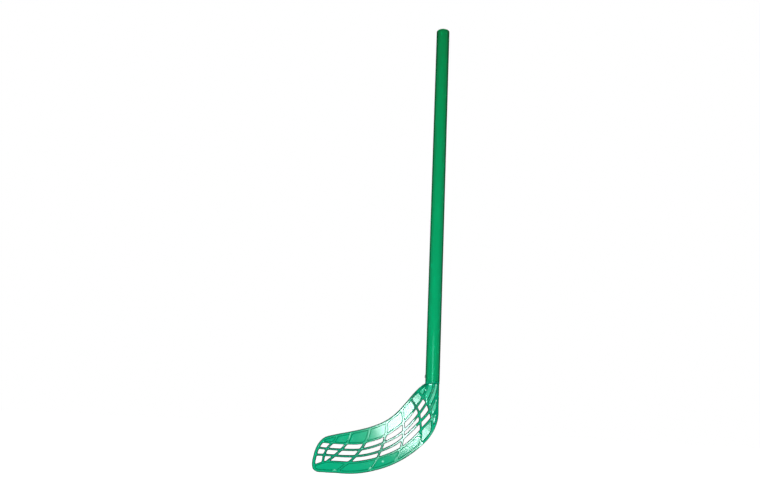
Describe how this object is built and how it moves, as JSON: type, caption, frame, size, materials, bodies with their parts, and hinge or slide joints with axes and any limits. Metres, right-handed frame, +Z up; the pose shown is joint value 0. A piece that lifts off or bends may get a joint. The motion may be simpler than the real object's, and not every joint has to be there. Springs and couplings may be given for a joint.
{
  "type": "floorball stick",
  "caption": "Light sports stick with a hollow round shaft and a flat, ribbed and slotted plastic blade fixed by a peg, a collar and one screw.",
  "frame": {"origin": "on the lowest level of the blade's lower edge, midway between the blade's toe and the shaft's outer side, in the middle of the stick's thickness", "axes": "+Z up along the shaft towards the end cap, -X towards the blade's toe, +Y square to the blade's flat faces; the picture looks along +Y"},
  "size_m": [0.2296, 0.027, 0.9066],
  "materials": {
    "shaft": "green moulded plastic tube with a soft sheen",
    "end_cap": "green moulded plastic, the same as the shaft",
    "blade": "green injection-moulded plastic, smooth, slightly lighter than the shaft",
    "screw": "plain zinc-plated steel"
  },
  "bodies": {
    "root": {"shaft": "shaft", "end_cap": "end_cap", "blade": "blade", "blade_screw": "screw"}
  },
  "joints": []
}
